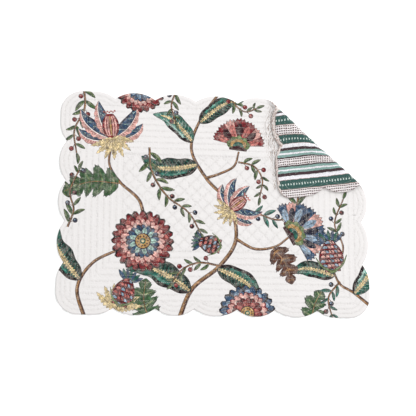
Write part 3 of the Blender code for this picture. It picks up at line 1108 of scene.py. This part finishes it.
def drawPrint():
    # stems first, the leaves and sprays over them, the flowers last
    paint = Painter(seeds["print"])
    for width, *points in (
        (5.6, (-54, -172), (-34, -126), (6, -92), (30, -52), (20, 0), (-14, 38), (-36, 82), (-22, 128),
         (6, 170)),
        (3.8, (30, -52), (58, -66), (88, -62), (108, -48)),
        (4.8, (-186, -172), (-198, -128), (-178, -92), (-142, -72), (-116, -62)),
        (4.2, (-104, -30), (-112, 2), (-140, 28), (-156, 54), (-154, 84)),
        (4.0, (232, -150), (204, -128), (184, -116), (174, -96)),
        (3.4, (-14, 38), (8, 46), (28, 58), (35, 80)),
    ):
        drawStem(paint, points, width)
    paler = "sea", "teal", "mist"
    for leaf in (
        ((-36, -130), 163, 98, 33, -14),
        ((-26, 58), 172, 84, 30, 14),
        ((-34, 92), 146, 72, 25, -10, *paler),
        ((2, -96), -44, 82, 28, 15),
        ((-194, -116), 112, 92, 31, 14),
        ((204, -130), 66, 88, 28, -12, *paler),
        ((-24, 122), 28, 76, 24, 9),
        ((176, -104), 178, 66, 24, -9),
    ):
        drawBroadLeaf(paint, *leaf)
    for leaf in (
        ((-140, 26), 190, 84, 46, 5, -9),
        ((-94, -176), 96, 64, 42, 4, 6, "moss", "sprout"),
        ((84, -64), -62, 60, 36, 4, 6, "bark", "tan", "wine"),
        ((140, -172), 70, 50, 34, 3, 4, "moss", "sprout"),
    ):
        drawLobedLeaf(paint, *leaf)
    # of each spray its course, the sizes of leaf, spacing and stem, its inks and its berries
    wide, middling, small = (21, 14, 2.4), (19, 13, 2.2), (17, 12, 2.0)
    green, blue = ("olive", "moss"), ("sea", "teal")
    red, mixed = (("brick", "rose"),), (("navy", "sky"), ("wine", "rose"))
    for sprayed in (
        (((-98, 82), (-94, 46), (-72, 10), (-40, -14), (-22, -44)), wide, green, mixed),
        (((24, -20), (60, -14), (92, -22), (128, -14)), wide, blue, mixed, 34),
        (((6, -92), (-24, -88), (-48, -98), (-62, -116)), (18, 12, 2.2), green, red, 16),
        (((-196, 172), (-194, 138), (-208, 104), (-204, 70)), wide, green, red),
        (((-214, -40), (-206, -14), (-212, 12), (-200, 44)), middling, green, mixed),
        (((-58, 172), (-66, 148), (-60, 124)), small, green, mixed),
        (((34, 64), (58, 58), (70, 38), (66, 12)), small, green, red, 8),
        (((184, -112), (166, -136), (172, -168)), small, blue, mixed),
        (((176, -98), (190, -62), (178, -26), (192, 12)), middling, green, mixed, 52),
        (((120, -20), (126, 20), (150, 50), (160, 90)), wide, green, red),
        (((20, 172), (30, 152), (46, 142), (62, 148)), small, green, red),
    ):
        drawSpray(paint, *sprayed)
    warm, cool = ("brick", "rose"), ("slate", "sky")
    drawRosette(paint, (-106, -58), 44, 8, 12, *warm, "slate", "mist")
    drawTulip(paint, (-153, 94), 97, 60)
    drawFan(paint, (112, -44), 30, 54)
    drawFan(paint, (34, 86), 84, 46, 7, 130, *warm, "wine")
    drawSeedHead(paint, (174, -98), 96, 48, 36, "brick", "blush")
    drawTulip(paint, (22, -8), 38, 46)
    drawRosette(paint, (46, -160), 40, 20, 11, *cool, *warm)
    drawRosette(paint, (-112, 172), 36, 0, 11, *warm, *cool)
    drawBracts(paint, (-142, -158), 74, 38, 7, 130)
    drawSeedHead(paint, (-139, -152), 70, 42, 31, *warm)
    drawSeedHead(paint, (8, -64), 168, 34, 26, "wine", "rose")
    return paint.shapes


def printedPattern(shapes):
    # the quilted pattern with the printed shapes' edges added, so that colours meet cleanly
    pattern = quiltedPattern()
    creaseRows(pattern)
    for points, _ in shapes:
        pattern.add(points, joined=True, closed=True)
    return pattern


def paintShapes(thing, verts, faces, shapes):
    middles = verts[faces].mean(1)
    order = np.argsort(middles[:, 0])
    ordered = middles[order]
    dyes = np.tile(groundColor, (len(faces), 1))
    for points, ink in shapes:
        first, last = np.searchsorted(ordered[:, 0], (points[:, 0].min(), points[:, 0].max()))
        inside = insidePolygon(ordered[first:last], points)
        dyes[order[first:last][inside]] = hexColor(inks[ink])
    colors = np.ones((len(faces), 3, 4), np.float32)
    colors[:, :, :3] = dyes[:, None, :]
    layer = thing.data.color_attributes.new("dye", "FLOAT_COLOR", "CORNER")
    layer.data.foreach_set("color", colors.ravel())


# materials


class Nodes:
    # a short way to lay out a material's nodes and join them

    def __init__(self, name):
        self.material = bpy.data.materials.new(name)
        self.material.use_nodes = True
        self.tree = self.material.node_tree
        self.flat = None  # the coordinates that noise is laid out in

    def add(self, kind, inputs=None, output=0, **settings):
        return addNode(self.tree, kind, inputs, **settings).outputs[output]

    def dress(self, inputs):
        shader = self.tree.nodes["Principled BSDF"]
        for name, value in inputs.items():
            putValue(self.tree, value, shader.inputs[name])

    def math(self, operation, a, b=0.0, c=0.0, clamp=False):
        return self.add("ShaderNodeMath", {0: a, 1: b, 2: c}, operation=operation, use_clamp=clamp)

    def times(self, a, b, clamp=False):
        return self.math("MULTIPLY", a, b, clamp=clamp)

    def plus(self, a, b):
        return self.math("ADD", a, b)

    def minus(self, a, b, clamp=False):
        return self.math("SUBTRACT", a, b, clamp=clamp)

    def scaled(self, value, slope, start, clamp=False):
        return self.math("MULTIPLY_ADD", value, slope, start, clamp)

    def vectorMath(self, operation, a, b, output=0):
        return self.add("ShaderNodeVectorMath", {0: a, 1: b}, output, operation=operation)

    def noise(self, scale, detail=3.0, **more):
        inputs = {"Vector": self.flat, "Scale": scale, "Detail": detail, **more}
        return self.add("ShaderNodeTexNoise", inputs)

    def bump(self, height, strength, distance, **more):
        inputs = {"Height": height, "Strength": strength, "Distance": distance * mm, **more}
        return self.add("ShaderNodeBump", inputs)

    def attribute(self, name, output="Fac"):
        return self.add("ShaderNodeAttribute", output=output, attribute_name=name)

    def gray(self, value):
        return self.add("ShaderNodeCombineXYZ", {0: value, 1: value, 2: value})

    def mix(self, share, a, b, blend="MIX"):
        a, b = ((*hexColor(color), 1) if isinstance(color, str) else color for color in (a, b))
        inputs = {"Factor": share, 6: a, 7: b}
        return self.add("ShaderNodeMix", inputs, 2, data_type="RGBA", blend_type=blend)


def flatCoordinates(nodes):
    # millimetres on the flat cut, from the mat's middle
    uv = nodes.add("ShaderNodeUVMap", uv_map="OFBake")
    inputs = {"Vector": uv, "Location": (*(-bakeMap / 2), 0), "Scale": (*bakeMap, 1)}
    nodes.flat = nodes.add("ShaderNodeMapping", inputs)
    return addNode(nodes.tree, "ShaderNodeSeparateXYZ", {0: nodes.flat}).outputs[:2]


# painted shade, along the seam's edge and along the quilted lines
paintedShade = {
    "edge": 0.34,
    "edgeWidth": 1.3,
    "edgeShadeInk": "#6E625C",
    "seam": 0.17,
    "seamFocus": 4.0,  # how closely the shade keeps to the line
    "seamShadeInk": "#4E4844",
    "patchScale": 0.3,
    "patches": (4.5, -1.95),  # the slope and the start that make patches of noise
}


def shadedEdge(nodes, color):
    # painted shade: the cloth is a little darker along the seam's edge, where it rounds over
    share = nodes.scaled(nodes.attribute("edge"), -1 / paintedShade["edgeWidth"], 1.0, clamp=True)
    return nodes.mix(nodes.times(share, paintedShade["edge"]), color, paintedShade["edgeShadeInk"])


def shadedSeams(nodes, color):
    # painted shade: the quilted lines lie a little in their own shade
    near = nodes.math("POWER", nodes.attribute("seam"), paintedShade["seamFocus"])
    broken = nodes.scaled(nodes.noise(paintedShade["patchScale"]), *paintedShade["patches"], clamp=True)
    return nodes.mix(nodes.times(near, nodes.times(broken, paintedShade["seam"])), color, paintedShade["seamShadeInk"])


# painted shade in the creases where the cloth crumples beside the flap's edge
crumpleShade = {
    "line": (  # beside the flap, bottom to top
        (88, 20), (89, 36), (87.5, 61), (87, 74), (85.5, 87), (82, 110), (85, 152),
    ),
    "reach": (2.5, 4.0, 5.5, 9.0, 11.0, 12.0, 6.0),  # to either side of each of those points
    "core": 1.2,  # above 1, so that the crumpling is full for a way to either side
    "lowFade": 8.0,
    "highFade": 6.0,
    "apart": 3.1,
    "waveScale": 0.2,
    "wave": 9.0,
    "lines": (1.7, -0.6),  # the slope and the start that make thin lines of waves
    "patchScale": 0.16,
    "patches": (4.0, -1.15),
    "ink": "#8E7663",
}


def paintCrumpleShade(thing, verts):
    # how near each point lies to the flap's crumpled edge, where the crumples get painted shade
    x, y = verts.T
    lineX, lineY = np.array(crumpleShade["line"], float).T
    away = np.abs(x - np.interp(y, lineY, lineX))
    near = np.clip(crumpleShade["core"] - away / np.interp(y, lineY, crumpleShade["reach"]), 0, 1)
    near *= fadeIn(y, lineY[0], crumpleShade["lowFade"])
    near *= fadeIn(-y, -lineY[-1] - crumpleShade["highFade"], crumpleShade["highFade"])
    putAttribute(thing.data, "crumpleShade", near)


def crumpleShadeLines(nodes, run):
    # painted shade: thin wavy lines across the way a crumpled edge runs, for the creases' shade
    wave = nodes.scaled(nodes.noise(crumpleShade["waveScale"]), crumpleShade["wave"], run)
    wave = nodes.math("SINE", nodes.times(wave, fullTurn / crumpleShade["apart"]))
    lines = nodes.scaled(wave, *crumpleShade["lines"], clamp=True)
    patches = nodes.noise(crumpleShade["patchScale"], 2.0)
    return nodes.times(lines, nodes.scaled(patches, *crumpleShade["patches"], clamp=True))


weave = {
    "pitch": 0.42,  # between threads, in millimetres
    "height": 0.05,
    "strength": 0.35,
    "threads": 0.5,  # the threads' share of the height, beside the slubs'
    "slubScale": 1.3,
    "puckers": 1.7,
    "puckerStrength": 0.8,
    "puckerScale": 0.38,
    "puckersBetween": 0.25,  # what is left of the puckers between the seams
}
cotton = {"Roughness": 0.92, "Specular IOR Level": 0.2, "Sheen Weight": 0.15}


def addWeave(nodes, x, y):
    # threads over and under, as a fine bump, and small puckers beside the stitches
    over, under = (nodes.math("SINE", nodes.times(way, fullTurn / weave["pitch"])) for way in (x, y))
    threads = nodes.times(nodes.times(over, under), weave["threads"])
    height = nodes.plus(threads, nodes.noise(weave["slubScale"]))
    seam = nodes.plus(nodes.attribute("seam"), weave["puckersBetween"])
    drawn = nodes.times(seam, nodes.noise(weave["puckerScale"]))
    puckers = nodes.bump(drawn, weave["puckerStrength"], weave["puckers"])
    nodes.dress({"Normal": nodes.bump(height, weave["strength"], weave["height"], Normal=puckers), **cotton})


mottle = {
    "share": 0.06,  # of the whole cloth's light and dark patches
    "patches": {"scale": 0.05, "detail": 4.0},
    "inkDistance": 2.5,  # how soon a colour counts as ink and no longer as ground
    "lines": {"Scale": 0.3, "Distortion": 3.0, "Detail": 2.0, "Detail Scale": 0.3},
    "lineShare": 0.6,
    "noise": {"scale": 0.13, "detail": 4.0, "Roughness": 0.65},
    "noiseShare": 1.6,
    "crispness": 6.0,
    "paleShift": 900,  # to noise of its own
    "darkStart": 1.06,
    "paleStart": 1.28,
    "dark": 0.8,
    "darkInk": "#1C1418",
    "pale": 0.32,
    "paleInk": "#EBDFD5",
    "tone": 3.0,
    "tones": {"scale": 0.21, "Roughness": 0.6},
    "toneMiddle": 0.47,
}


def hatched(nodes, share, offset, start, printed):
    # lines that swell and thin out, as in an engraving
    moved = nodes.vectorMath("ADD", nodes.flat, (offset, 0, 0))
    noise = nodes.noise(**mottle["noise"], Vector=moved)
    value = nodes.scaled(noise, mottle["noiseShare"], nodes.times(share, mottle["lineShare"]))
    value = nodes.scaled(value, mottle["crispness"], -mottle["crispness"] * start, clamp=True)
    return nodes.times(value, printed)


def faceMaterial():
    nodes = Nodes("faceCloth")
    x, y = flatCoordinates(nodes)
    dye = nodes.attribute("dye", "Color")
    # the inks are mottled, darker and paler in small patches; the bare ground isn't
    printed = nodes.vectorMath("DISTANCE", dye, groundColor, "Value")
    printed = nodes.times(printed, mottle["inkDistance"], clamp=True)
    lines = {"Vector": nodes.flat, **mottle["lines"]}
    hatch = nodes.add("ShaderNodeTexWave", lines, "Fac", bands_direction="DIAGONAL")
    dark = hatched(nodes, hatch, 0, mottle["darkStart"], printed)
    pale = hatched(nodes, nodes.minus(1.0, hatch), mottle["paleShift"], mottle["paleStart"], printed)
    color = nodes.mix(nodes.times(dark, mottle["dark"]), dye, mottle["darkInk"])
    color = nodes.mix(nodes.times(pale, mottle["pale"]), color, mottle["paleInk"])
    # and each patch of ink took a little more or less of its colour
    tone = nodes.noise(**mottle["tones"])
    tone = nodes.scaled(tone, mottle["tone"], 1.0 - mottle["toneMiddle"] * mottle["tone"])
    patches = nodes.noise(**mottle["patches"])
    tint = nodes.scaled(patches, mottle["share"], 1 - mottle["share"] / 2)
    tint = nodes.times(tint, nodes.mix(printed, (1, 1, 1, 1), nodes.gray(tone)))
    color = nodes.mix(1.0, color, nodes.gray(tint), "MULTIPLY")
    # painted shade in the crumpled creases beside the flap
    near = nodes.times(nodes.attribute("crumpleShade"), crumpleShadeLines(nodes, x))
    color = nodes.mix(near, color, crumpleShade["ink"])
    nodes.dress({"Base Color": shadedSeams(nodes, shadedEdge(nodes, color))})
    addWeave(nodes, x, y)
    return nodes.material


backStripes = {
    "colors": {
        "green": "#3B5C57", "sage": "#87A6A0", "white": "#F0EEF3", "bark": "#46363A",
        # line is the woven thin line beside the green bands, and also the painted shade and painted shadow
        # line on the rolled rim
        "check": "#F1ECEB", "line": "#9C7A72", "dash": "#4A1B27", "dot": "#DFEBE5", "rim": "#E2DBD6",
    },
    "order": (  # half of one repeat, from the middle of the check band between sage stripes
        ("check", 5.1), ("bark", 2.0), ("sage", 3.4), ("white", 2.3), ("sage", 3.4), ("bark", 4.2),
        ("white", 5.2), ("line", 0.7), ("green", 12.9), ("line", 0.7), ("check", 6.9),
    ),
    "edgeBand": 11.6,  # the check band at the mat's right edge
    "dotPitch": 4.3,
    "dotSize": (0.78, 1.3),
    "dotShift": 1.5,
    "dotWander": 3.0,
    "dotWanderScale": 0.3,
    "dotShare": 0.95,
    "dashPitch": 3.4,
    "dashSize": (1.15, 0.85),
    "dashRow": 3.4,  # between the rows of dashes
    "dashBand": 5.95,  # half the width that the rows take up
    "grain": (1.3, 0.35),  # the slope and the start of its noise
    "grainScale": 0.9,
}
drawing = {  # how the stripes have shifted on the cloth
    "waver": 2.4,
    "waverScale": 0.09,
    "jog": 1.3,
    "jogScale": 0.42,
    "middle": -1.85,  # takes away what the two add on the whole
    "tip": 109.5,  # on the flap, the stripes nearer its tip than this are drawn together
    "tipShare": 0.75,
    "beyondFold": -8,  # the flap counts from this far past the fold's line
    "bowAt": 158.0,
    "bowSpread": 42.0,
    "bowReach": 26.0,
    "bow": 9.0,
}


def drawnStripes(nodes, x, y):
    # the place across the stripes as they were woven, before they wavered and were drawn together
    waver = nodes.scaled(nodes.noise(drawing["waverScale"]), drawing["waver"], drawing["middle"])
    jogged = nodes.scaled(nodes.noise(drawing["jogScale"], 2.0), drawing["jog"], waver)
    line = float(foldPoint @ across)
    beyond = nodes.scaled(x, float(across[0]), nodes.times(y, float(across[1])))
    onFlap = nodes.math("GREATER_THAN", beyond, line + drawing["beyondFold"])
    drawn = nodes.times(nodes.minus(x, drawing["tip"]), drawing["tipShare"])
    drawn = nodes.times(nodes.math("MINIMUM", drawn, 0.0), onFlap)
    # and they bow down towards the fold where it stands fullest
    aside = nodes.math("DIVIDE", nodes.minus(x, drawing["bowAt"]), drawing["bowSpread"])
    fullness = nodes.minus(1.0, nodes.times(aside, aside), clamp=True)
    fromFold = nodes.math("ABSOLUTE", nodes.minus(beyond, line))
    closeness = nodes.minus(1.0, nodes.math("DIVIDE", fromFold, drawing["bowReach"]), clamp=True)
    bowed = nodes.times(nodes.math("POWER", closeness, 2.0), nodes.math("POWER", fullness, 1.5))
    return nodes.plus(nodes.plus(x, nodes.scaled(bowed, -drawing["bow"], drawn)), jogged)


def stripeColors(nodes, fromMiddle, half):
    # the stripes' colours, and how far each one's middle lies from the repeat's
    ramp = addNode(nodes.tree, "ShaderNodeValToRGB", {0: nodes.math("DIVIDE", fromMiddle, half)})
    ramp.color_ramp.interpolation = "CONSTANT"
    stops = ramp.color_ramp.elements
    stops.remove(stops[1])
    reached, middles = 0.0, {}
    for number, (name, width) in enumerate(backStripes["order"]):
        stop = stops[0] if number == 0 else stops.new(reached / half)
        stop.color = (*hexColor(backStripes["colors"][name]), 1)
        middles[name] = reached + width / 2
        reached += width
    return ramp.outputs[0], middles


def within(nodes, value, reach):
    return nodes.math("LESS_THAN", nodes.math("ABSOLUTE", value), reach)


def wovenDots(nodes, y, fromMiddle, middle):
    # down the middle of each green band
    wide, high = backStripes["dotSize"]
    pitch = backStripes["dotPitch"]
    toDot = nodes.minus(nodes.math("PINGPONG", y, pitch / 2), pitch / 4)
    wander = nodes.noise(backStripes["dotWanderScale"], 1.0)
    wavy = nodes.scaled(wander, backStripes["dotWander"], fromMiddle)
    onRow = within(nodes, nodes.minus(wavy, middle + backStripes["dotShift"]), high)
    return nodes.times(onRow, nodes.math("GREATER_THAN", toDot, pitch / 4 - wide))


def wovenDashes(nodes, y, fromMiddle, away):
    # in rows in the check bands
    wide, high = backStripes["dashSize"]
    inBand = nodes.math("LESS_THAN", nodes.math("MINIMUM", fromMiddle, away), backStripes["dashBand"])
    halfRow = backStripes["dashRow"] / 2
    row = nodes.math("MINIMUM", fromMiddle, nodes.plus(away, halfRow))
    row = nodes.math("LESS_THAN", nodes.math("PINGPONG", row, halfRow), high)
    beat = nodes.math("LESS_THAN", nodes.math("PINGPONG", y, backStripes["dashPitch"] / 2), wide)
    return nodes.times(inBand, nodes.times(row, beat))


rim = {
    "start": 64.0,  # along the top side
    "end": 224.0,
    "along": (100, 148, 162, 224),
    "width": (5.6, 4.8, 3.3, 2.8),
    "wander": 1.4,
    "wanderScale": 5.0,
    "fade": 8.0,
    "tip": 10.0,  # wider where the fold begins
    "tipStart": 102.0,
    "tipFade": 9.0,
    "most": 3.0,  # what is further from the rim's line than this is alike
    "fray": (1.4, -0.7),  # the slope and the start of its noise
    "frayScale": 0.9,
    "crispness": 4.0,
    # the painted shadow line along the rim's inner edge: its half width and its strength
    "seam": 0.4,
    "seamShadowShare": 0.55,
}


def paintRolledRim(thing, verts):
    x, y = verts.T
    edge, _ = fromEdge(verts)
    width = np.interp(x, rim["along"], rim["width"])
    width += rim["wander"] * softNoise(verts, rim["wanderScale"], seeds["rim"])
    width += rim["tip"] * fadeIn(-x, -rim["tipStart"], rim["tipFade"])
    inside = fadeIn(x, rim["start"], rim["fade"]) * fadeIn(-x, -rim["end"], rim["fade"])
    depth = np.clip(width * inside - edge, -rim["most"], rim["most"])
    putAttribute(thing.data, "rolled", np.where(y > topStrip, depth, -rim["most"]))


def rolledRim(nodes, color):
    # the cream cloth rolls a little way over the seam along the top side
    colors = backStripes["colors"]
    fray = nodes.scaled(nodes.noise(rim["frayScale"]), *rim["fray"])
    rolled = nodes.plus(nodes.attribute("rolled"), fray)
    onRim = nodes.times(rolled, rim["crispness"], clamp=True)
    color = nodes.mix(onRim, color, colors["rim"])
    # painted shade in the rim's crumples, and a painted shadow line where the rim meets the stripes
    color = nodes.mix(nodes.times(onRim, crumpleShadeLines(nodes, rolled)), color, colors["line"])
    seamShadow = nodes.times(within(nodes, rolled, rim["seam"]), rim["seamShadowShare"])
    return nodes.mix(seamShadow, color, colors["line"])


def backMaterial():
    nodes = Nodes("backCloth")
    x, y = flatCoordinates(nodes)
    colors = backStripes["colors"]
    # the repeat is mirrored about the middle of each check band
    half = sum(width for _, width in backStripes["order"])
    firstMiddle = halfLength - backStripes["edgeBand"] + backStripes["order"][-1][1]
    away = nodes.math("PINGPONG", nodes.minus(firstMiddle, drawnStripes(nodes, x, y)), half)
    fromMiddle = nodes.minus(half, away)
    color, middles = stripeColors(nodes, fromMiddle, half)
    dots = wovenDots(nodes, y, fromMiddle, middles["green"])
    color = nodes.mix(nodes.times(dots, backStripes["dotShare"]), color, colors["dot"])
    color = nodes.mix(wovenDashes(nodes, y, fromMiddle, away), color, colors["dash"])
    grain = nodes.scaled(nodes.noise(backStripes["grainScale"], 2.0), *backStripes["grain"])
    color = rolledRim(nodes, nodes.mix(1.0, color, nodes.gray(grain), "MULTIPLY"))
    nodes.dress({"Base Color": shadedSeams(nodes, shadedEdge(nodes, color))})
    addWeave(nodes, x, y)
    return nodes.material


thread = {"shadeScale": 260.0, "twistScale": 3200.0, "twistStrength": 0.4, "twistHeight": 0.05}
spun = {"Roughness": 0.8, "Sheen Weight": 0.2}


def threadMaterial(name, darker, paler):
    nodes = Nodes(name)
    nodes.flat = nodes.add("ShaderNodeTexCoord", output="Object")
    color = nodes.mix(nodes.noise(thread["shadeScale"], 2.0), darker, paler)
    twist = nodes.noise(thread["twistScale"], 2.0)
    bump = nodes.bump(twist, thread["twistStrength"], thread["twistHeight"])
    nodes.dress({"Base Color": color, "Normal": bump, **spun})
    return nodes.material


# the two cloths

shapes = drawPrint()
print("print:", len(shapes), "shapes")
faceVerts, faceFaces = triangulate(printedPattern(shapes))
faceCloth = sheetMesh("faceCloth", faceVerts, faceFaces, 1, seeds["face"])
paintShapes(faceCloth, faceVerts, faceFaces, shapes)
paintCrumpleShade(faceCloth, faceVerts)
backVerts, backFaces = triangulate(quiltedPattern())
backCloth = sheetMesh("backCloth", backVerts, backFaces, -1, seeds["back"])
paintRolledRim(backCloth, backVerts)
faceCloth.data.materials.append(faceMaterial())
backCloth.data.materials.append(backMaterial())

sewing = stitchTree()
cream = threadMaterial("creamThread", "#DDD6CE", "#F1EDE8")
gray = threadMaterial("grayThread", "#A9B4AE", "#C8CEC9")
faceStitches = sewStitches("faceStitches", 1, seeds["face"], cream, sewing)
backStitches = sewStitches("backStitches", -1, seeds["back"], gray, sewing)

for piece, node, slot, stitches in (
    (faceCloth, "face_panel", "face_cloth", faceStitches),
    (backCloth, "back_panel", "back_cloth", backStitches),
):
    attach(piece, "root")
    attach(stitches, "root")
    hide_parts(node)


# floor, light and camera

stage = {
    "floorSize": 6.0,
    "floorColor": (0.97, 0.97, 0.97, 1),
    "floorGlow": 0.26,
    "worldColor": (1.0, 1.0, 1.0, 1),
    "worldStrength": 0.845,
    "keyPlace": (0.9, 0.9, 1.6),
    "keySize": 1.2,
    "keyPower": 15.0,
}


def buildStage():
    bpy.ops.mesh.primitive_plane_add(size=stage["floorSize"], location=(0, 0, 0))
    floor = bpy.context.object
    floor.name = "floor"
    nodes = Nodes("floor")
    glow = {"Emission Color": (1, 1, 1, 1), "Emission Strength": stage["floorGlow"]}
    nodes.dress({"Base Color": stage["floorColor"], "Roughness": 1.0, **glow})
    floor.data.materials.append(nodes.material)
    world = bpy.data.worlds.new("studio")
    world.use_nodes = True
    background = world.node_tree.nodes["Background"]
    background.inputs[0].default_value = stage["worldColor"]
    background.inputs[1].default_value = stage["worldStrength"]
    bpy.context.scene.world = world
    light = bpy.data.lights.new("keyLight", "AREA")
    light.size = stage["keySize"]
    light.energy = stage["keyPower"]
    lamp = addObject("keyLight", light)
    lamp.location = stage["keyPlace"]
    lamp.rotation_euler = Vector(stage["keyPlace"]).to_track_quat("Z", "Y").to_euler()
    bpy.context.scene.view_settings.view_transform = "Standard"


view = {
    "azimuth": math.radians(-31),
    "elevation": math.radians(76),
    "target": (-0.0107, -0.0061, 0.0),
    "distance": 1.5,
    "lens": 88.5,
}


def buildCamera():
    lens = bpy.data.cameras.new("camera")
    lens.lens = view["lens"]
    lens.sensor_width = 36
    camera = addObject("camera", lens)
    turn, rise = view["azimuth"], view["elevation"]
    level = math.cos(rise)
    back = Vector((math.sin(turn) * level, -math.cos(turn) * level, math.sin(rise)))
    right = Vector((0, 1, 0)).cross(back).normalized()
    facing = Matrix((right, back.cross(right), back)).transposed()
    place = Matrix.Translation(Vector(view["target"]) + back * view["distance"])
    camera.matrix_world = place @ facing.to_4x4()
    bpy.context.scene.camera = camera


buildStage()
buildCamera()
